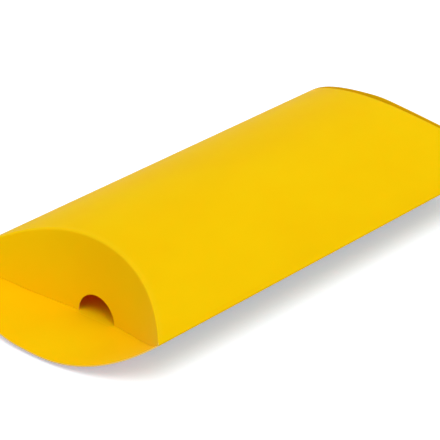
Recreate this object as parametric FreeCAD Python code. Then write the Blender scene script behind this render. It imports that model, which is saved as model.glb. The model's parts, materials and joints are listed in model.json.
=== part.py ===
import FreeCAD
import Part
import math
import os

# A pillow box: one sheet of card, scored and glued into a lens-shaped sleeve, with two flaps at each end.
# The front end has its bottom flap open, and the rear end is closed, with its bottom flap on the outside.
# Millimetres. X runs along the box, with the front end at -X, Y runs across it and +Z is up.
# The origin is on the table, under the middle of the box.

# Sleeve
length = 222.0  # between the corner lines of the two ends
width = 110.0  # across the sharp corners of the lens section
top_rise = 19.3  # crown of the top panel above the side folds
bottom_sag = 18.2  # belly of the bottom panel below the side folds
belly_width = 10.0  # flat strip of the bottom panel that lies on the table
card = 0.5  # thickness of the card

# Curved creases at the ends, set back from the corner line at the middle of each panel
top_setback = 21.4
top_fullness_share = 0.32  # how much fuller than a parabola the curve is at its shoulders
bottom_setback = 22.0
bottom_fullness_share = 0.25
crease_width = 1.2  # strip of card that the score presses flat

# End flaps
foot_setback = 24.6  # free edge of a closed top flap, where it stands on the bottom panel
front_foot_fullness_share = -0.25  # at the open end the foot spreads past the bottom crease
rear_foot_fullness_share = 0.25  # at the closed end it keeps within the bottom flap
tongue_reach = 15.6  # free edge of an open bottom flap, beyond the corner line
tongue_fullness_share = 0.18
open_spring_degrees = 3.0  # the open bottom flap springs up by this from the line of its panel
closed_lean_degrees = 4.5  # the closed bottom flap leans out by this from upright
closed_standoff = 0.3  # its foot, out from its crease
notch_radius = 9.8  # thumb cut in the free edge of a top flap

# Side folds and glued seam, which is on the +Y side
fold_depth = 2.0  # strip of card that makes up a side fold
fold_radius = 0.6
seam_inset = 1.0  # cut edge of the top panel, back from the corner of the section
glue_flap_width = 14.0
glue_flap_end_inset = 8.0  # ends of the glue flap at its fold, back from the corner line
glue_flap_taper = 10.0  # further set-back of the ends at the free edge
glue_line = 0.2  # space between the glue flap and the top panel
glue_gap = 0.03  # left free on either side of the dried glue
glue_margin = 1.5  # bare border of the glue flap

# Clearances and cuts
crease_gap = 0.2  # between a flap and the score that it hangs on
flap_clearance = 0.3  # between a flap and the sleeve round it
overrun = 5.0  # cutting solids pass the card by this much
curve_spans = 16  # spans of an outline that follows a formula

half_length = length / 2
half_width = width / 2
half_belly = belly_width / 2
crown = bottom_sag + top_rise
reach = half_length + tongue_reach + overrun
fold_line = half_width - fold_depth
flap_half_span = fold_line - flap_clearance


def arc_radius(half_chord, rise):
    """Radius of the arc with this half chord and rise."""
    return (half_chord**2 + rise**2) / (2 * rise)


top_radius = arc_radius(half_width, top_rise)
bottom_radius = arc_radius(half_width - half_belly, bottom_sag)


def top_z(y):
    """Height of the top panel's outer face."""
    return crown - top_radius + math.sqrt(top_radius**2 - y**2)


def bottom_z(y, inset=0):
    """Height of the bottom panel's outer face, or of a face inside it."""
    beside = max(abs(y) - half_belly, 0)
    return bottom_radius - math.sqrt((bottom_radius - inset) ** 2 - beside**2)


def swell(y, fullness_share):
    """1 at the middle of the box and 0 at its side corners."""
    across_share = y / half_width
    return (1 - across_share**2) * (1 + fullness_share * across_share**2)


def top_crease_x(y):
    """Front top crease, seen from above."""
    return -half_length + top_setback * swell(y, top_fullness_share)


def bottom_crease_x(y):
    """Front bottom crease, seen from above."""
    return -half_length + bottom_setback * swell(y, bottom_fullness_share)


def foot_x(y, fullness_share):
    """Free edge of a closed top flap at the front, seen from above."""
    return -half_length + foot_setback * swell(y, fullness_share)


def tongue_x(y):
    """Free edge of a front bottom flap in line with its panel: a curve from corner to corner."""
    return -half_length - tongue_reach * swell(y, tongue_fullness_share)


def lens_tip(top_inset, bottom_inset):
    """Where the top and bottom faces meet on the +Y side, once each is moved into the box."""
    top_r = top_radius - top_inset
    bottom_r = bottom_radius - bottom_inset
    top_centre = crown - top_radius
    step_y = half_belly
    step_z = bottom_radius - top_centre
    step = math.hypot(step_y, step_z)
    along = (top_r**2 - bottom_r**2 + step**2) / (2 * step)
    off = math.sqrt(top_r**2 - along**2)
    y = (along * step_y + off * step_z) / step
    z = top_centre + (along * step_z - off * step_y) / step
    return y, z


def section_point(y, z):
    return FreeCAD.Vector(-reach, y, z)


def lens(top_inset, bottom_inset, rounding=0):
    """Solid lens along the box, between the top and bottom faces moved into the box by the insets."""
    tip_y, tip_z = lens_tip(top_inset, bottom_inset)
    left = section_point(-tip_y, tip_z)
    right = section_point(tip_y, tip_z)
    left_belly = section_point(-half_belly, bottom_inset)
    right_belly = section_point(half_belly, bottom_inset)
    middle_y = (half_belly + tip_y) / 2
    inner_r = bottom_radius - bottom_inset
    middle_z = bottom_radius - math.sqrt(inner_r**2 - (middle_y - half_belly) ** 2)
    edges = [
        Part.Arc(left, section_point(0, crown - top_inset), right).toShape(),
        Part.Arc(right, section_point(middle_y, middle_z), right_belly).toShape(),
        Part.LineSegment(right_belly, left_belly).toShape(),
        Part.Arc(left_belly, section_point(-middle_y, middle_z), left).toShape(),
    ]
    solid = Part.Face(Part.Wire(edges)).extrude(FreeCAD.Vector(2 * reach, 0, 0))
    if rounding == 0:
        return solid
    corners = [e for e in solid.Edges if abs(abs(e.CenterOfMass.y) - tip_y) < rounding]
    along_box = [e for e in corners if e.BoundBox.XLength > length]
    return solid.makeFillet(rounding, along_box)


def slab(y_low, y_high):
    """Everything between two planes across the box."""
    corner = FreeCAD.Vector(-reach, y_low, -overrun)
    return Part.makeBox(2 * reach, y_high - y_low, crown + 2 * overrun, corner)


def curve_wire(low_points, high_points):
    """Closed outline between two curves across the box, each through its own points."""
    low_curve = Part.BSplineCurve()
    low_curve.interpolate(low_points)
    high_curve = Part.BSplineCurve()
    high_curve.interpolate(high_points[::-1])
    return Part.Wire(
        [
            low_curve.toShape(),
            Part.LineSegment(low_points[-1], high_points[-1]).toShape(),
            high_curve.toShape(),
            Part.LineSegment(high_points[0], low_points[0]).toShape(),
        ]
    )


def places_across(half_span):
    """Evenly spaced places from one side of the box to the other."""
    return [half_span * (2 * i / curve_spans - 1) for i in range(curve_spans + 1)]


def plan_wire(low_x, high_x, half_span, z):
    """Outline between two curves seen from above, at one height."""
    across = places_across(half_span)
    low_points = [FreeCAD.Vector(low_x(y), y, z) for y in across]
    high_points = [FreeCAD.Vector(high_x(y), y, z) for y in across]
    return curve_wire(low_points, high_points)


def plan_solid(low_x, high_x, half_span=half_width):
    """Upright solid between two curves across the box."""
    face = Part.Face(plan_wire(low_x, high_x, half_span, -overrun))
    return face.extrude(FreeCAD.Vector(0, 0, crown + 2 * overrun))


def end_view_wire(low_z, high_z, half_span, x):
    """Outline between two curves seen from the end of the box, at one place along it."""
    across = places_across(half_span)
    low_points = [FreeCAD.Vector(x, y, low_z(y)) for y in across]
    high_points = [FreeCAD.Vector(x, y, high_z(y)) for y in across]
    return curve_wire(low_points, high_points)


def end_view_solid(low_z, high_z, half_span):
    """Solid along the front half of the box between two curves across it."""
    face = Part.Face(end_view_wire(low_z, high_z, half_span, -reach))
    return face.extrude(FreeCAD.Vector(reach, 0, 0))


def between_ends(front_x):
    """Upright solid between a curve at the front end and its mirror image at the rear."""
    return plan_solid(front_x, lambda y: -front_x(y))


def top_sheet_end(y):
    """Front end of the card on top, behind the flap that is folded down from it."""
    return top_crease_x(y) + card + crease_gap


def top_panel_end(y):
    return top_sheet_end(y) + crease_width


def bottom_panel_end(y):
    return bottom_crease_x(y) + crease_width / 2


def tongue_root(y):
    return bottom_crease_x(y) - crease_width / 2


def glue_flap_plan(margin):
    """Upright solid with the tapered outline of the glue flap, less a margin all round."""
    root_y = fold_line - margin
    free_y = fold_line - glue_flap_width + margin
    root_x = half_length - glue_flap_end_inset - margin
    free_x = root_x - glue_flap_taper
    corners = [(-root_x, root_y), (root_x, root_y), (free_x, free_y), (-free_x, free_y)]
    points = [FreeCAD.Vector(x, y, -overrun) for x, y in corners]
    face = Part.Face(Part.makePolygon(points + points[:1]))
    return face.extrude(FreeCAD.Vector(0, 0, crown + 2 * overrun))


outer_lens = lens(0, 0)
top_sheet = outer_lens.cut(lens(card, 0)).common(slab(-fold_line, half_width - seam_inset))
bottom_sheet = outer_lens.cut(lens(0, card)).common(slab(-fold_line, fold_line))
fold_ends = between_ends(top_sheet_end)


def make_top_panel():
    return top_sheet.common(between_ends(top_panel_end))


def make_bottom_panel():
    return bottom_sheet.common(between_ends(bottom_panel_end))


def make_side_fold():
    """Card bent round the -Y edge, from the bottom panel to the top panel."""
    bent = lens(0, 0, fold_radius).cut(lens(card, card))
    return bent.common(slab(-half_width - overrun, -fold_line)).common(fold_ends)


def make_glue_fold():
    """Card bent round the +Y edge, from the bottom panel to the glue flap under the top panel."""
    under_top = card + glue_line
    bent = lens(under_top, 0, fold_radius).cut(lens(under_top + card, card))
    return bent.common(slab(fold_line, half_width + overrun)).common(fold_ends)


def make_glue_flap():
    under_top = card + glue_line
    layer = lens(under_top, 0).cut(lens(under_top + card, 0))
    return layer.common(glue_flap_plan(0))


def make_glue_strip():
    layer = lens(card + glue_gap, 0).cut(lens(card + glue_line - glue_gap, 0))
    return layer.common(glue_flap_plan(glue_margin))


def make_top_crease():
    return top_sheet.common(plan_solid(top_sheet_end, top_panel_end))


def make_bottom_crease():
    return bottom_sheet.common(plan_solid(tongue_root, bottom_panel_end))


def ruled_wall(outer_x):
    """Sheet of card on straight lines up the end of the box, from its outer face at each place and height."""

    def wall_wire(z):
        return plan_wire(lambda y: outer_x(y, z), lambda y: outer_x(y, z) + card, flap_half_span, z)

    return Part.makeLoft([wall_wire(-overrun), wall_wire(crown + overrun)], True, True)


def make_top_flap(foot_fullness_share):
    """Closed flap: straight lines run down it from the top crease to its foot on the bottom panel."""

    def outer_x(y, z):
        foot = foot_x(y, foot_fullness_share)
        lean = (top_crease_x(y) - foot) / (top_z(y) - bottom_z(y))
        return foot + lean * (z - bottom_z(y))

    flap = ruled_wall(outer_x).common(lens(0, card + flap_clearance))
    notch_centre = FreeCAD.Vector(-reach, 0, card + flap_clearance)
    return flap.cut(Part.makeCylinder(notch_radius, reach, notch_centre, FreeCAD.Vector(1, 0, 0)))


def make_open_bottom_flap():
    """Open flap: straight lines run out from its crease, sprung up a little from the bottom panel."""
    slope = math.tan(math.radians(open_spring_degrees))

    def sheet_wire(x):
        def lift(y):
            return slope * (tongue_root(y) - x)

        return end_view_wire(
            lambda y: bottom_z(y) + lift(y), lambda y: bottom_z(y, card) + lift(y), flap_half_span, x
        )

    sheet = Part.makeLoft([sheet_wire(-reach), sheet_wire(0)], True, True)
    return sheet.common(plan_solid(tongue_x, lambda y: tongue_root(y) - crease_gap))


def make_closed_bottom_flap():
    """Closed flap: it stands outside the top flap, on straight lines up from its crease to its free edge."""
    lean = math.radians(closed_lean_degrees)

    def outer_x(y, z):
        return bottom_crease_x(y) - closed_standoff - card / 2 - math.tan(lean) * (z - bottom_z(y))

    def foot_z(y):
        return bottom_z(y) + card + crease_gap

    def rim_z(y):
        return bottom_z(y) + card / 2 + (bottom_crease_x(y) - tongue_x(y)) * math.cos(lean)

    return ruled_wall(outer_x).common(end_view_solid(foot_z, rim_z, fold_line))


def rear_of(shape):
    """The same piece at the other end of the box."""
    return shape.mirror(FreeCAD.Vector(0, 0, 0), FreeCAD.Vector(1, 0, 0))


sleeve_makers = {
    "top_panel": make_top_panel,
    "bottom_panel": make_bottom_panel,
    "side_fold": make_side_fold,
    "glue_fold": make_glue_fold,
    "glue_flap": make_glue_flap,
    "glue_strip": make_glue_strip,
}
crease_makers = {"top_crease": make_top_crease, "bottom_crease": make_bottom_crease}

pieces = {name: make() for name, make in sleeve_makers.items()}
for name, make in crease_makers.items():
    pieces["front_" + name] = make()
    pieces["rear_" + name] = rear_of(pieces["front_" + name])
pieces["front_top_flap"] = make_top_flap(front_foot_fullness_share)
pieces["front_bottom_flap"] = make_open_bottom_flap()
pieces["rear_top_flap"] = rear_of(make_top_flap(rear_foot_fullness_share))
pieces["rear_bottom_flap"] = rear_of(make_closed_bottom_flap())

os.makedirs("parts", exist_ok=True)
for name, shape in pieces.items():
    solids = shape.Solids
    box = shape.BoundBox
    corners = (box.XMin, box.YMin, box.ZMin, box.XMax, box.YMax, box.ZMax)
    print(name, len(solids), shape.isValid(), round(shape.Volume, 2), [round(c, 2) for c in corners])
    solids[0].exportStep("parts/" + name + ".step")
print("top hinge", round(top_crease_x(0), 3), round(crown, 3))
print("open bottom hinge", round(bottom_crease_x(0), 3), round(card / 2, 3))
print("closed bottom hinge", round(-bottom_crease_x(0), 3), round(card / 2 + closed_standoff, 3))
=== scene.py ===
import json
import math

import bpy
import numpy as np
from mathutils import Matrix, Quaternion, Vector


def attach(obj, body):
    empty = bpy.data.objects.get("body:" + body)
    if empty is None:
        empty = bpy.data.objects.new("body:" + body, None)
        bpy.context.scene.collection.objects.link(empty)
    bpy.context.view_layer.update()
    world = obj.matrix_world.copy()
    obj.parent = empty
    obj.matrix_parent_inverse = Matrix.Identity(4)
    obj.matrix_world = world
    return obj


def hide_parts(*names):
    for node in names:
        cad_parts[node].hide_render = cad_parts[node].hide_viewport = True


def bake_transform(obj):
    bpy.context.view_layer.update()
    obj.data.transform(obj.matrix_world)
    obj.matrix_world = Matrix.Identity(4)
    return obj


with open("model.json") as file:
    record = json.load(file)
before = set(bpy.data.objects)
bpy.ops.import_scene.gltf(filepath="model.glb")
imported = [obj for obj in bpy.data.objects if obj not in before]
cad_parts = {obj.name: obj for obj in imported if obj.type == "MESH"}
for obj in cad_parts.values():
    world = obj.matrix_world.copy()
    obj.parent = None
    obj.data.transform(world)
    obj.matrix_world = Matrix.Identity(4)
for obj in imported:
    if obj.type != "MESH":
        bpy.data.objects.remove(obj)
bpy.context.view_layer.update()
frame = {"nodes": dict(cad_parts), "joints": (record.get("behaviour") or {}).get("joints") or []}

# Sizes of the box in metres. X runs along it, with the front end at -X, Y runs across it and +Z is up.
LENGTH = 0.222
WIDTH = 0.110
TOP_RISE = 0.0193
BOTTOM_SAG = 0.0182
BELLY_WIDTH = 0.010
CARD = 0.0005

# Curved creases and free edges of the front end, close to those of the solids. The rear end mirrors them,
# apart from the values given for each end. Its top crease is a little askew, further out towards the seam.
TOP_SETBACK = 0.0214
TOP_FULLNESS = 0.32
TOP_SKEW = {"front": 0.0, "rear": 0.0015}
BOTTOM_SETBACK = 0.0220
BOTTOM_FULLNESS = 0.25
FOOT_SETBACK = 0.0241
FOOT_FULLNESS = {"front": -0.15, "rear": 0.25}
FOOT_CLEARANCE = 0.0001
TONGUE_REACH = 0.0156
TONGUE_FULLNESS = {"front": 0.30, "rear": 0.10}
NOTCH_RADIUS = 0.0098

# The open front bottom flap springs up a little and the closed rear one leans out a little. Both do so more
# towards the seam, which gives them a twist.
OPEN_SPRING = math.radians(2.6)
OPEN_TWIST = math.radians(2.4)
CLOSED_LEAN = math.radians(5.0)
CLOSED_TWIST = math.radians(4.5)

# Folds, scores and cut edges
BEND_RADIUS = 0.0010
BEND_HEIGHT_SHARE = 0.25
SCORE_WIDTH = 0.0012
SCORE_INSIDE = 0.00025
SCORE_DEPTH_SHARE = 0.12
SCORE_SHARPNESS = 4.0
SIDE_FOLD_RADIUS = 0.0006
SIDE_FOLD_DEPTH = 0.0020
SEAM_INSET = 0.0010
GLUE_LINE = 0.0002
CUT_BULGE = 0.00006
TOP_FLAP_SIDE_GAP = 0.0003

# Rubbed places
WEAR_REACH = 0.0007
SIDE_WEAR = 0.5
SIDE_WEAR_SPREAD = 0.16
SCORE_WEAR = 0.06

# Mesh steps
PANEL_ROWS = 72
PANEL_COLUMNS = 120
BEND_STEPS = 10
WALL_STEPS = 26
SIDE_COLUMNS = 48
NOTCH_COLUMNS = 32
SCORE_STEPS = 8
TONGUE_STEPS = 26
FOLD_STEPS = 14
FOLD_EDGE_STEPS = 4
SHARP_EDGE = math.radians(38)

# Card
YELLOW = (0.864, 0.600, 0.0005)
YELLOW_DEEP = (0.849, 0.575, 0.0004)
YELLOW_PALE = (0.874, 0.623, 0.0010)
YELLOW_WORN = (0.890, 0.660, 0.030)
DYE_STOPS = ((0.3, YELLOW_DEEP), (0.5, YELLOW), (0.72, YELLOW_PALE))
FIBRE_STOPS = ((0.35, YELLOW_DEEP), (0.7, YELLOW_WORN))
GLUE_FLAP_STOPS = ((0.3, YELLOW_DEEP), (0.7, YELLOW_PALE))
LIGHT_THROUGH = (0.205, 0.006, 0.0, 1.0)
# Light through the closed rear flaps, less than through the card elsewhere: a darker copy of the card that
# paints shade on them
LIGHT_THROUGH_REAR_SHADED = (0.130, 0.004, 0.0, 1.0)
CARD_GLOSS = 0.006
CARD_SHEEN = 0.08
CARD_SHEEN_SPREAD = 0.25
CARD_ROUGHNESS = (0.46, 0.62)
CARD_BUMP = 0.10
CARD_BUMP_HEIGHT = 0.00003
RUBBED_SHARE = 0.25
FIBRE_SHARE = 0.05

# Noise on the card's flat blank. The back of the card takes its noise from a place further along the blank.
GRAIN_ROUGHNESS = 0.6
FIBRE_PER_METRE = 2600.0
FIBRE_STRETCH = 4.0
FIBRE_DETAIL = 4.0
CLOUD_PER_METRE = 26.0
CLOUD_STRETCH = 1.6
CLOUD_DETAIL = 3.0
BLANK_BACK = np.array([0.5, 0.5])

# Cut edges of the card
CUT_EDGE = (0.900, 0.560, 0.070)
CUT_EDGE_PALE = (0.940, 0.680, 0.220)
CUT_EDGE_STOPS = ((0.35, CUT_EDGE), (0.65, CUT_EDGE_PALE))
CUT_EDGE_GLOSS = 0.25
CUT_EDGE_ROUGHNESS = (0.75, 0.9)
CUT_EDGE_BUMP = 0.25
CUT_EDGE_BUMP_HEIGHT = 0.00004
CUT_FIBRE_PER_METRE = 3900.0
CUT_FIBRE_STRETCH = 6.0
CUT_FIBRE_DETAIL = 3.0

# Glue
GLUE_DULL = (0.62, 0.52, 0.30)
GLUE_PALE = (0.80, 0.74, 0.58)
GLUE_STOPS = ((0.35, GLUE_DULL), (0.7, GLUE_PALE))
GLUE_ROUGHNESS = (0.35, 0.6)
GLUE_CLOUD_PER_METRE = 160.0
GLUE_CLOUD_DETAIL = 3.0

# Floor. The box is lit by its plain colour. The camera sees it paler, with a glow that lifts it to white.
FLOOR_COLOUR = (0.600, 0.625, 0.665, 1.0)
FLOOR_SEEN_COLOUR = (0.98, 0.98, 0.98, 1.0)
FLOOR_GLOW = (0.225, 0.33, 0.44, 1.0)
FLOOR_ROUGHNESS = 0.9
FLOOR_SIZE = 6.0
FLOOR_DROP = 0.0001

# Light and camera
SKY_COLOUR = (1.0, 1.0, 1.0, 1.0)
SKY_LIGHT = 0.64
SKY_SEEN = 1.0
KEY_STRENGTH = 1.10
KEY_SPREAD = math.radians(35)
KEY_FROM = (-0.35, -0.35, 0.87)
CAMERA_EYE = (-0.7107, -0.6128, 0.4828)
CAMERA_TARGET = (-0.0168, -0.0024, 0.0185)
CAMERA_LENS = 205.3
CAMERA_SENSOR = 36.0
CAMERA_ROLL = 0.0082

HALF_LENGTH = LENGTH / 2
HALF_WIDTH = WIDTH / 2
HALF_BELLY = BELLY_WIDTH / 2
CROWN = BOTTOM_SAG + TOP_RISE
FOLD_LINE = HALF_WIDTH - SIDE_FOLD_DEPTH


# Shape of the box


def arc_radius(half_chord, rise):
    return (half_chord**2 + rise**2) / (2 * rise)


TOP_RADIUS = arc_radius(HALF_WIDTH, TOP_RISE)
BOTTOM_RADIUS = arc_radius(HALF_WIDTH - HALF_BELLY, BOTTOM_SAG)
TOP_CENTRE = CROWN - TOP_RADIUS


def top_z(y):
    """Outer face of the top panel."""
    return TOP_CENTRE + np.sqrt(TOP_RADIUS**2 - y**2)


def bottom_z(y, inset=0.0):
    """Outer face of the bottom panel, or a face inside it."""
    beside = np.maximum(np.abs(y) - HALF_BELLY, 0)
    return BOTTOM_RADIUS - np.sqrt((BOTTOM_RADIUS - inset) ** 2 - beside**2)


def top_arc(y):
    """Way across the top panel along its face, which is its place on the flat blank."""
    return TOP_RADIUS * np.arcsin(y / TOP_RADIUS)


def bottom_arc(y):
    return WIDTH + BOTTOM_RADIUS * np.arcsin(y / BOTTOM_RADIUS)


def swell(y, fullness):
    """1 at the middle of the box and 0 at its side corners."""
    across = y / HALF_WIDTH
    return (1 - across**2) * (1 + fullness * across**2)


def top_crease_x(y, end):
    askew = TOP_SKEW[end] * y / HALF_WIDTH * swell(y, 0)
    return -HALF_LENGTH + TOP_SETBACK * swell(y, TOP_FULLNESS) - askew


def bottom_crease_x(y):
    return -HALF_LENGTH + BOTTOM_SETBACK * swell(y, BOTTOM_FULLNESS)


def foot_x(y, end):
    return -HALF_LENGTH + FOOT_SETBACK * swell(y, FOOT_FULLNESS[end])


def tongue_x(y, end):
    return -HALF_LENGTH - TONGUE_REACH * swell(y, TONGUE_FULLNESS[end])


def score_end_x(y):
    """Where the bottom panel ends and the scored strip of its flap starts."""
    return bottom_crease_x(y) + SCORE_INSIDE


def open_angle(y):
    """How far the open front bottom flap springs up from the bottom panel."""
    return OPEN_SPRING + OPEN_TWIST * y / HALF_WIDTH


def closed_angle(y):
    """How far the closed rear bottom flap stands up from the bottom panel."""
    return math.pi / 2 - CLOSED_LEAN - CLOSED_TWIST * y / HALF_WIDTH


def wall_line(y, end):
    """Closed top flap across the box: its crease, the way down it, its height, and the bend at its crease."""
    crease = np.stack([top_crease_x(y, end), top_z(y)], -1)
    foot_along = foot_x(y, end)
    foot_up = bottom_z(y, CARD) + FOOT_CLEARANCE
    if end == "front":
        foot_up = foot_up + np.maximum(score_end_x(y) - foot_along, 0) * np.tan(open_angle(y))
    down = np.stack([foot_along, foot_up], -1) - crease
    height = np.linalg.norm(down, axis=-1)
    down = down / height[..., None]
    turn = np.arccos(-down[..., 0])
    radius = np.minimum(BEND_RADIUS, height * BEND_HEIGHT_SHARE)
    return crease, down, height, turn, radius


def top_end_x(y, end):
    """Where the top panel ends and the bend of its flap starts."""
    crease, down, height, turn, radius = wall_line(y, end)
    return crease[..., 0] + radius * np.tan(turn / 2)


def lens_tip(top_inset, bottom_inset):
    """Where the top and bottom faces meet on the +Y side, once each is moved into the box."""
    top_reach = TOP_RADIUS - top_inset
    bottom_reach = BOTTOM_RADIUS - bottom_inset
    step_z = BOTTOM_RADIUS - TOP_CENTRE
    step = math.hypot(HALF_BELLY, step_z)
    along = (top_reach**2 - bottom_reach**2 + step**2) / (2 * step)
    off = math.sqrt(top_reach**2 - along**2)
    y = (along * HALF_BELLY + off * step_z) / step
    return y, TOP_CENTRE + (along * step_z - off * HALF_BELLY) / step


TOP_FLAP_HALF_SPAN = lens_tip(CARD, CARD)[0] - TOP_FLAP_SIDE_GAP
TONGUE_HALF_SPAN = lens_tip(SIDE_FOLD_RADIUS, SIDE_FOLD_RADIUS)[0] + SIDE_FOLD_RADIUS / 2


# Sheets of card


def normals_of(grid):
    """Unit normals of a grid of points: rows crossed with columns."""
    normals = np.cross(np.gradient(grid, axis=0), np.gradient(grid, axis=1))
    return normals / np.linalg.norm(normals, axis=-1, keepdims=True)


def smoothstep(share):
    share = np.clip(share, 0, 1)
    return share * share * (3 - 2 * share)


class Sheet:
    """A stretch of card: points on its two faces, their places on the flat blank, and how rubbed they are."""

    def __init__(self, outer, blank, flip=False, depth=CARD, wear=0.0):
        side = 1 if flip else -1
        depths = np.broadcast_to(depth, outer.shape[:2])[..., None]
        self.outer = outer
        self.inner = outer + side * depths * normals_of(outer)
        self.blank = blank
        self.flip = flip
        self.wear = np.broadcast_to(wear, outer.shape[:2])


def mirrored(points):
    return points * np.array([-1.0, 1.0, 1.0])


def edge_places(rows, columns):
    """Places of the points round the edge of a grid, in order, and of the next point inward from each."""
    loop = [(0, c, 1, c) for c in range(columns - 1)]
    loop += [(r, columns - 1, r, columns - 2) for r in range(rows - 1)]
    loop += [(rows - 1, c, rows - 2, c) for c in range(columns - 1, 0, -1)]
    loop += [(r, 0, r, 1) for r in range(rows - 1, 0, -1)]
    loop = np.array(loop)
    return loop[:, 0] * columns + loop[:, 1], loop[:, 2] * columns + loop[:, 3]


def on_mesh(outer, inner, edge):
    """Values at all points of a sheet's mesh: outer face, inner face, and the middle of the cut edge."""
    return np.concatenate([outer, inner, (outer[edge] + inner[edge]) / 2])


def build(name, sheet, materials, rear=False):
    """Closed mesh of a sheet of card, with bulged cut edges. Slot 0 is the faces and slot 1 the cut edges."""
    rows, columns = sheet.outer.shape[:2]
    count = rows * columns
    edge, inward = edge_places(rows, columns)
    outer = sheet.outer.reshape(-1, 3)
    points = on_mesh(outer, sheet.inner.reshape(-1, 3), edge)
    outward = outer[edge] - outer[inward]
    points[2 * count:] += CUT_BULGE * outward / np.linalg.norm(outward, axis=1, keepdims=True)

    corner = (np.arange(rows - 1)[:, None] * columns + np.arange(columns - 1)[None]).ravel()
    quads = np.stack([corner, corner + columns, corner + columns + 1, corner + 1], 1)
    here = np.arange(len(edge))
    there = np.roll(here, -1)
    rim_here = 2 * count + here
    rim_there = 2 * count + there
    outer_rim = np.stack([edge[here], edge[there], rim_there, rim_here], 1)
    inner_rim = np.stack([rim_here, rim_there, count + edge[there], count + edge[here]], 1)
    faces = np.concatenate([quads, quads[:, ::-1] + count, outer_rim, inner_rim])
    slots = np.repeat([0, 1], [2 * len(quads), 2 * len(edge)])
    if sheet.flip != rear:
        faces = faces[:, ::-1]
    if rear:
        points = mirrored(points)

    mesh = bpy.data.meshes.new(name)
    mesh.from_pydata(points.tolist(), [], faces.tolist())
    for material in materials:
        mesh.materials.append(material)
    mesh.polygons.foreach_set("material_index", slots.astype(np.int32))
    wear = on_mesh(sheet.wear.ravel(), sheet.wear.ravel(), edge)
    mesh.attributes.new("wear", "FLOAT", "POINT").data.foreach_set("value", wear.astype(np.float32))
    blank = sheet.blank.reshape(-1, 2)
    blank = on_mesh(blank, blank + BLANK_BACK, edge)
    corners = np.zeros(len(mesh.loops), np.int32)
    mesh.loops.foreach_get("vertex_index", corners)
    mesh.uv_layers.new(name="blank").data.foreach_set("uv", blank[corners].astype(np.float32).ravel())
    mesh.shade_smooth()
    mesh.set_sharp_from_angle(angle=SHARP_EDGE)
    mesh.update()
    mesh.validate()
    piece = bpy.data.objects.new(name, mesh)
    bpy.context.scene.collection.objects.link(piece)
    return piece


# Materials


def new_material(name):
    material = bpy.data.materials.new(name)
    material.use_nodes = True
    tree = material.node_tree
    return material, tree, tree.nodes["Principled BSDF"]


def noise_at(tree, coordinates, scale, detail):
    noise = tree.nodes.new("ShaderNodeTexNoise")
    noise.inputs["Scale"].default_value = scale
    noise.inputs["Detail"].default_value = detail
    tree.links.new(coordinates, noise.inputs["Vector"])
    return noise


def blank_noise(tree, scale, stretch, detail):
    """Noise over the flat blank, drawn out along the grain of the card, which runs along the box."""
    coords = tree.nodes.new("ShaderNodeUVMap")
    coords.uv_map = "blank"
    mapping = tree.nodes.new("ShaderNodeMapping")
    mapping.inputs["Scale"].default_value = (scale / stretch, scale, scale)
    tree.links.new(coords.outputs["UV"], mapping.inputs["Vector"])
    noise = noise_at(tree, mapping.outputs["Vector"], 1.0, detail)
    noise.inputs["Roughness"].default_value = GRAIN_ROUGHNESS
    return noise.outputs["Fac"]


def plain_noise(tree, scale, detail):
    coords = tree.nodes.new("ShaderNodeTexCoord")
    return noise_at(tree, coords.outputs["Object"], scale, detail).outputs["Fac"]


def ramp(tree, factor, stops):
    node = tree.nodes.new("ShaderNodeValToRGB")
    elements = node.color_ramp.elements
    while len(elements) < len(stops):
        elements.new(1.0)
    for element, (position, colour) in zip(elements, stops):
        element.position = position
        element.color = (*colour, 1.0)
    tree.links.new(factor, node.inputs["Fac"])
    return node.outputs["Color"]


def connect(tree, value, socket):
    """Link a node's output to a socket, or set the socket to a plain value."""
    if isinstance(value, bpy.types.NodeSocket):
        tree.links.new(value, socket)
    else:
        socket.default_value = value


def mix(tree, factor, a, b):
    node = tree.nodes.new("ShaderNodeMix")
    node.data_type = "RGBA"
    colours = [socket for socket in node.inputs if socket.type == "RGBA"]
    connect(tree, factor, node.inputs["Factor"])
    connect(tree, a, colours[0])
    connect(tree, b, colours[1])
    return [socket for socket in node.outputs if socket.type == "RGBA"][0]


def math_node(tree, operation, a, b):
    node = tree.nodes.new("ShaderNodeMath")
    node.operation = operation
    connect(tree, a, node.inputs[0])
    connect(tree, b, node.inputs[1])
    return node.outputs["Value"]


def map_range(tree, value, low, high):
    node = tree.nodes.new("ShaderNodeMapRange")
    node.inputs["To Min"].default_value = low
    node.inputs["To Max"].default_value = high
    tree.links.new(value, node.inputs["Value"])
    return node.outputs["Result"]


def add_bump(tree, shader, relief, strength, height):
    bump = tree.nodes.new("ShaderNodeBump")
    bump.inputs["Strength"].default_value = strength
    bump.inputs["Distance"].default_value = height
    tree.links.new(relief, bump.inputs["Height"])
    tree.links.new(bump.outputs["Normal"], shader.inputs["Normal"])


def let_through(tree, shader, colour):
    """Thin card: a little light comes through, reddened by the dye."""
    glow = tree.nodes.new("ShaderNodeBsdfTranslucent")
    glow.inputs["Color"].default_value = colour
    both = tree.nodes.new("ShaderNodeAddShader")
    tree.links.new(shader.outputs["BSDF"], both.inputs[0])
    tree.links.new(glow.outputs["BSDF"], both.inputs[1])
    tree.links.new(both.outputs["Shader"], tree.nodes["Material Output"].inputs["Surface"])


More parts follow.
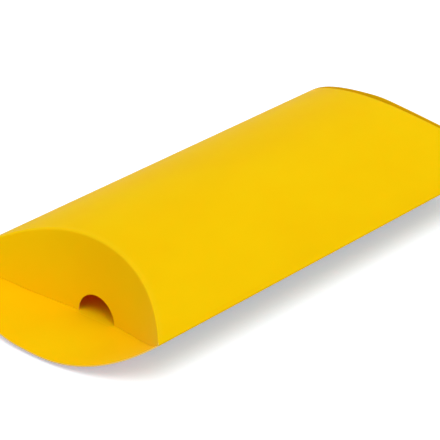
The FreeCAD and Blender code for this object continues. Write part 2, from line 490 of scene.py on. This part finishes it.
def card_material(name, light_through):
    """Through-dyed card: cloudy dye, fine fibres along the grain, a faint sheen, and paler where rubbed."""
    material, tree, shader = new_material(name)
    cloud = blank_noise(tree, CLOUD_PER_METRE, CLOUD_STRETCH, CLOUD_DETAIL)
    fibre = blank_noise(tree, FIBRE_PER_METRE, FIBRE_STRETCH, FIBRE_DETAIL)
    dye = mix(tree, FIBRE_SHARE, ramp(tree, cloud, DYE_STOPS), ramp(tree, fibre, FIBRE_STOPS))
    wear = tree.nodes.new("ShaderNodeAttribute")
    wear.attribute_name = "wear"
    rubbed = math_node(tree, "MULTIPLY", wear.outputs["Fac"], map_range(tree, fibre, 0.0, RUBBED_SHARE))
    colour = mix(tree, rubbed, dye, (*YELLOW_WORN, 1.0))
    tree.links.new(colour, shader.inputs["Base Color"])
    tree.links.new(map_range(tree, fibre, *CARD_ROUGHNESS), shader.inputs["Roughness"])
    shader.inputs["Specular IOR Level"].default_value = CARD_GLOSS
    shader.inputs["Sheen Weight"].default_value = CARD_SHEEN
    shader.inputs["Sheen Roughness"].default_value = CARD_SHEEN_SPREAD
    add_bump(tree, shader, fibre, CARD_BUMP, CARD_BUMP_HEIGHT)
    let_through(tree, shader, light_through)
    return material


def cut_edge_material():
    """Cut edge of the card: rough, paler, with the layers of fibre showing."""
    material, tree, shader = new_material("card_cut_edge")
    fibre = blank_noise(tree, CUT_FIBRE_PER_METRE, CUT_FIBRE_STRETCH, CUT_FIBRE_DETAIL)
    tree.links.new(ramp(tree, fibre, CUT_EDGE_STOPS), shader.inputs["Base Color"])
    tree.links.new(map_range(tree, fibre, *CUT_EDGE_ROUGHNESS), shader.inputs["Roughness"])
    shader.inputs["Specular IOR Level"].default_value = CUT_EDGE_GLOSS
    add_bump(tree, shader, fibre, CUT_EDGE_BUMP, CUT_EDGE_BUMP_HEIGHT)
    return material


def inner_card_material():
    """The same card on the hidden glue flap, whose solid has no blank to draw the fibres on."""
    material, tree, shader = new_material("card_glue_flap")
    fibre = plain_noise(tree, FIBRE_PER_METRE, FIBRE_DETAIL)
    tree.links.new(ramp(tree, fibre, GLUE_FLAP_STOPS), shader.inputs["Base Color"])
    tree.links.new(map_range(tree, fibre, *CARD_ROUGHNESS), shader.inputs["Roughness"])
    return material


def glue_material():
    material, tree, shader = new_material("dried_glue")
    cloud = plain_noise(tree, GLUE_CLOUD_PER_METRE, GLUE_CLOUD_DETAIL)
    tree.links.new(ramp(tree, cloud, GLUE_STOPS), shader.inputs["Base Color"])
    tree.links.new(map_range(tree, cloud, *GLUE_ROUGHNESS), shader.inputs["Roughness"])
    return material


# Sleeve


def lengthwise(y, z, front_x, rear_x, blank_y):
    """Points and blank places of a section drawn along the box. Its rear end is given as its mirror image."""
    share = np.linspace(0, 1, PANEL_ROWS)[:, None]
    x = front_x * (1 - share) - rear_x * share
    points = np.stack([x, np.broadcast_to(y, x.shape), np.broadcast_to(z, x.shape)], -1)
    return points, np.stack([x, np.broadcast_to(blank_y, x.shape)], -1)


def top_panel():
    y = np.linspace(-FOLD_LINE, HALF_WIDTH - SEAM_INSET, PANEL_COLUMNS)
    front = top_end_x(y, "front")
    rear = top_end_x(y, "rear")
    points, blank = lengthwise(y, top_z(y), front, rear, top_arc(y))
    from_end = np.minimum(points[..., 0] - front, -rear - points[..., 0])
    return Sheet(points, blank, wear=np.exp(-((from_end / WEAR_REACH) ** 2)))


def bottom_panel():
    y = np.linspace(-FOLD_LINE, FOLD_LINE, PANEL_COLUMNS)
    points, blank = lengthwise(y, bottom_z(y), score_end_x(y), score_end_x(y), bottom_arc(y))
    return Sheet(points, blank, flip=True)


def side_path(top_inset):
    """Section of the fold at the +Y edge: down the top face, round the bend, and in along the bottom face."""
    radius = SIDE_FOLD_RADIUS
    centre_y, centre_z = lens_tip(top_inset + radius, radius)
    start = math.atan2(centre_z - TOP_CENTRE, centre_y)
    end = math.atan2(centre_z - BOTTOM_RADIUS, centre_y - HALF_BELLY)
    angles = np.linspace(start, end, FOLD_STEPS + 1)
    bend = np.stack([centre_y + radius * np.cos(angles), centre_z + radius * np.sin(angles)], -1)
    upper_y = np.linspace(FOLD_LINE, bend[0, 0], FOLD_EDGE_STEPS + 1)[:-1]
    upper_z = TOP_CENTRE + np.sqrt((TOP_RADIUS - top_inset) ** 2 - upper_y**2)
    lower_y = np.linspace(bend[-1, 0], FOLD_LINE, FOLD_EDGE_STEPS + 1)[1:]
    lower_z = bottom_z(lower_y)
    return np.concatenate([np.stack([upper_y, upper_z], -1), bend, np.stack([lower_y, lower_z], -1)])


def side_fold(sign, top_inset):
    """Fold along one side edge. The one under the seam starts lower, below the top panel and the glue."""
    path = side_path(top_inset)
    y = np.minimum(path[:, 0], HALF_WIDTH)
    share = np.linspace(0, 1, len(path))
    front = top_end_x(y, "front") * (1 - share) + score_end_x(y) * share
    rear = top_end_x(y, "rear") * (1 - share) + score_end_x(y) * share
    steps = np.linalg.norm(np.diff(path, axis=0), axis=1)
    arc = HALF_WIDTH + np.concatenate([[0], np.cumsum(steps)])
    points, blank = lengthwise(sign * path[:, 0], path[:, 1], front, rear, arc)
    wear = SIDE_WEAR * np.exp(-(((share - 0.5) / SIDE_WEAR_SPREAD) ** 2))
    return Sheet(points, blank, flip=sign < 0, wear=wear)


# End flaps


def top_flap_columns():
    """Places across a top flap, closer together round the notch."""
    swing = np.linspace(-math.pi / 2, math.pi / 2, NOTCH_COLUMNS + 1)
    side = np.linspace(NOTCH_RADIUS, TOP_FLAP_HALF_SPAN, SIDE_COLUMNS + 1)[1:]
    return np.concatenate([-side[::-1], NOTCH_RADIUS * np.sin(swing), side])


def turn_shares(rest, moved, hinge, full_turn):
    """Share of the hinge's turn that carries each point closest to where the bent card ends up."""
    before = rest[..., [0, 2]] - hinge
    after = moved[..., [0, 2]] - hinge
    across = before[..., 0] * after[..., 1] - before[..., 1] * after[..., 0]
    turned = np.arctan2(across, (before * after).sum(-1))
    return np.clip(turned / full_turn, 0, 1)


def face_shares(sheet, moved_sheet, bend_steps, hinge, full_turn):
    """Shares of the hinge's turn on the two faces of a flap, growing from 0 across the bend at its score."""
    bend_share = smoothstep(np.arange(len(sheet.outer)) / bend_steps)[:, None]
    shares = []
    for rest, moved in ((sheet.outer, moved_sheet.outer), (sheet.inner, moved_sheet.inner)):
        share = turn_shares(rest, moved, hinge, full_turn)
        share[:bend_steps] = share[bend_steps]
        shares.append((share * bend_share).ravel())
    return shares


def top_flap(end, hinge, full_turn):
    """Closed top flap: the bend at its crease, then straight down to its foot or to the rim of the notch."""
    y = top_flap_columns()
    crease, down, height, turn, radius = wall_line(y, end)
    notch_floor = bottom_z(0.0, CARD) + FOOT_CLEARANCE
    notch_top = notch_floor + np.sqrt(np.maximum(NOTCH_RADIUS**2 - y**2, 0))
    foot = crease[:, 1] + down[:, 1] * height
    free_edge = np.where(np.abs(y) < NOTCH_RADIUS, np.maximum(notch_top, foot), foot)
    start_x = top_end_x(y, end)
    wall = (free_edge - crease[:, 1]) / down[:, 1] - (start_x - crease[:, 0])

    rest, moved, blank, wear = [], [], [], []
    for i in range(BEND_STEPS + WALL_STEPS + 1):
        bent = turn * min(i / BEND_STEPS, 1)
        straight = wall * max(i - BEND_STEPS, 0) / WALL_STEPS
        path = radius * bent + straight
        x = start_x - radius * np.sin(bent) + down[:, 0] * straight
        z = crease[:, 1] - radius * (1 - np.cos(bent)) + down[:, 1] * straight
        rest.append(np.stack([x, y, z], -1))
        moved.append(np.stack([start_x - path, y, crease[:, 1]], -1))
        blank.append(np.stack([start_x - path, top_arc(y)], -1))
        wear.append(np.exp(-(((path - radius * turn / 2) / WEAR_REACH) ** 2)))
    sheet = Sheet(np.array(rest), np.array(blank), flip=True, wear=np.array(wear))
    moved_sheet = Sheet(np.array(moved), np.array(blank), flip=True)
    return sheet, face_shares(sheet, moved_sheet, BEND_STEPS, hinge, -full_turn)


def raised(start_x, start_z, path, score, angle):
    """Places along a bottom flap that bends up at its score by an angle, if any, and then runs straight."""
    bend_path = np.minimum(path, score)
    half_bent = bend_path / score * angle / 2
    chord = bend_path * np.sinc(half_bent / math.pi)
    straight = np.maximum(path - score, 0)
    x = start_x - chord * np.cos(half_bent) - straight * np.cos(angle)
    z = start_z + chord * np.sin(half_bent) + straight * np.sin(angle)
    return x, z


def bottom_flap(end, hinge, full_turn):
    """Bottom flap: open at the front, and closed at the rear, where it stands outside the top flap."""
    y = np.linspace(-TONGUE_HALF_SPAN, TONGUE_HALF_SPAN, 2 * SIDE_COLUMNS + NOTCH_COLUMNS + 1)
    if end == "front":
        rest_angle = open_angle(y)
        moved_angle = open_angle(0) + full_turn
        signed_turn = -full_turn
    else:
        rest_angle = closed_angle(y)
        moved_angle = closed_angle(0) - full_turn
        signed_turn = full_turn
    start_x = score_end_x(y)
    reach = start_x - tongue_x(y, end)
    score = np.minimum(SCORE_WIDTH, reach / 2)

    rest, moved, blank, pressed = [], [], [], []
    for i in range(SCORE_STEPS + TONGUE_STEPS + 1):
        path = score * min(i / SCORE_STEPS, 1) + (reach - score) * max(i - SCORE_STEPS, 0) / TONGUE_STEPS
        for places, angle in ((rest, rest_angle), (moved, moved_angle)):
            x, z = raised(start_x, bottom_z(y), path, score, angle)
            places.append(np.stack([x, y, z], -1))
        blank.append(np.stack([start_x - path, bottom_arc(y)], -1))
        pressed.append(np.exp(-(((path / score - 0.5) * SCORE_SHARPNESS) ** 2)))
    pressed = np.array(pressed)
    depth = CARD * (1 - SCORE_DEPTH_SHARE * pressed)
    sheet = Sheet(np.array(rest), np.array(blank), depth=depth, wear=SCORE_WEAR * pressed)
    moved_sheet = Sheet(np.array(moved), np.array(blank), depth=depth)
    return sheet, face_shares(sheet, moved_sheet, SCORE_STEPS, hinge, signed_turn)


# Pieces

CUT_EDGES = cut_edge_material()
CARD_MATERIALS = (card_material("card_yellow", LIGHT_THROUGH), CUT_EDGES)
# The closed rear flaps lie on each other. They take a copy of the card that lets less light through, a darker
# copy that paints shade on them
REAR_SHADED_MATERIALS = (card_material("card_yellow_rear_shaded", LIGHT_THROUGH_REAR_SHADED), CUT_EDGES)


def add_sleeve_piece(node, sheet):
    piece = build(f"{node}_card", sheet, CARD_MATERIALS)
    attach(piece, "sleeve")
    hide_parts(node)


def add_flap(end, level):
    """One end flap, in one piece with its crease, which lies between the sleeve and the flap's own body."""
    flap = f"{end}_{level}_flap"
    joint = [j for j in frame["joints"] if j["child"] == flap][0]
    place = joint["pos_m"]
    hinge = np.array([-abs(place[0]), place[2]])
    full_turn = math.radians(max(abs(limit) for limit in joint["range_deg"]))
    make = top_flap if level == "top" else bottom_flap
    sheet, shares = make(end, hinge, full_turn)
    rear = end == "rear"
    # The rear flaps take the darker copy of the card, which paints shade on them
    materials = REAR_SHADED_MATERIALS if rear else CARD_MATERIALS
    piece = build(f"{flap}_card", sheet, materials, rear)
    free_edge = sheet.outer[-1, sheet.outer.shape[1] // 2]
    if rear:
        free_edge = mirrored(free_edge)
    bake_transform(piece)
    # A straight blend from start to end can't follow a curved score, so the blend's shares are worked out
    # here for each point from its own way along the flap. They are not put on the piece.
    edge = edge_places(*sheet.outer.shape[:2])[0]
    shares = on_mesh(*shares, edge).astype(np.float32)
    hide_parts(flap, f"{end}_{level}_crease")


def dress_node(name, material):
    slots = frame["nodes"][name].data.materials
    slots.clear()
    slots.append(material)


add_sleeve_piece("top_panel", top_panel())
add_sleeve_piece("bottom_panel", bottom_panel())
add_sleeve_piece("side_fold", side_fold(-1, 0.0))
add_sleeve_piece("glue_fold", side_fold(1, CARD + GLUE_LINE))
for end in ("front", "rear"):
    for level in ("top", "bottom"):
        add_flap(end, level)
dress_node("glue_flap", inner_card_material())
dress_node("glue_strip", glue_material())


# Floor, light and camera


def seen_directly(tree):
    """1 for what the camera sees, also mirrored or through something clear, and 0 for light on surfaces."""
    path = tree.nodes.new("ShaderNodeLightPath")
    seen = math_node(tree, "MAXIMUM", path.outputs["Is Camera Ray"], path.outputs["Is Glossy Ray"])
    return math_node(tree, "MAXIMUM", seen, path.outputs["Is Transmission Ray"])


def add_floor():
    half = FLOOR_SIZE / 2
    corners = [(x * half, y * half, -FLOOR_DROP) for x, y in ((-1, -1), (1, -1), (1, 1), (-1, 1))]
    mesh = bpy.data.meshes.new("floor")
    mesh.from_pydata(corners, [], [(0, 1, 2, 3)])
    material, tree, shader = new_material("floor_white")
    seen = seen_directly(tree)
    colour = mix(tree, seen, FLOOR_COLOUR, FLOOR_SEEN_COLOUR)
    tree.links.new(colour, shader.inputs["Base Color"])
    shader.inputs["Roughness"].default_value = FLOOR_ROUGHNESS
    shader.inputs["Specular IOR Level"].default_value = 0.0
    shader.inputs["Emission Color"].default_value = FLOOR_GLOW
    tree.links.new(seen, shader.inputs["Emission Strength"])
    mesh.materials.append(material)
    floor = bpy.data.objects.new("floor", mesh)
    bpy.context.scene.collection.objects.link(floor)


def add_sky():
    """Even white light from all round, which the camera sees as plain white."""
    world = bpy.data.worlds.new("studio")
    world.use_nodes = True
    tree = world.node_tree
    background = tree.nodes["Background"]
    background.inputs["Color"].default_value = SKY_COLOUR
    tree.links.new(map_range(tree, seen_directly(tree), SKY_LIGHT, SKY_SEEN), background.inputs["Strength"])
    bpy.context.scene.world = world


def add_key():
    lamp = bpy.data.lights.new("key", "SUN")
    lamp.energy = KEY_STRENGTH
    lamp.angle = KEY_SPREAD
    key = bpy.data.objects.new("key", lamp)
    key.location = KEY_FROM
    key.rotation_euler = (-Vector(KEY_FROM)).to_track_quat("-Z", "Y").to_euler()
    bpy.context.scene.collection.objects.link(key)


def add_camera():
    data = bpy.data.cameras.new("camera")
    data.sensor_width = CAMERA_SENSOR
    data.lens = CAMERA_LENS
    camera = bpy.data.objects.new("camera", data)
    camera.location = CAMERA_EYE
    level = (Vector(CAMERA_TARGET) - Vector(CAMERA_EYE)).to_track_quat("-Z", "Y")
    camera.rotation_euler = (level @ Quaternion((0, 0, 1), CAMERA_ROLL)).to_euler()
    bpy.context.scene.collection.objects.link(camera)
    bpy.context.scene.camera = camera


add_floor()
add_sky()
add_key()
add_camera()
bpy.context.scene.view_settings.view_transform = "Standard"
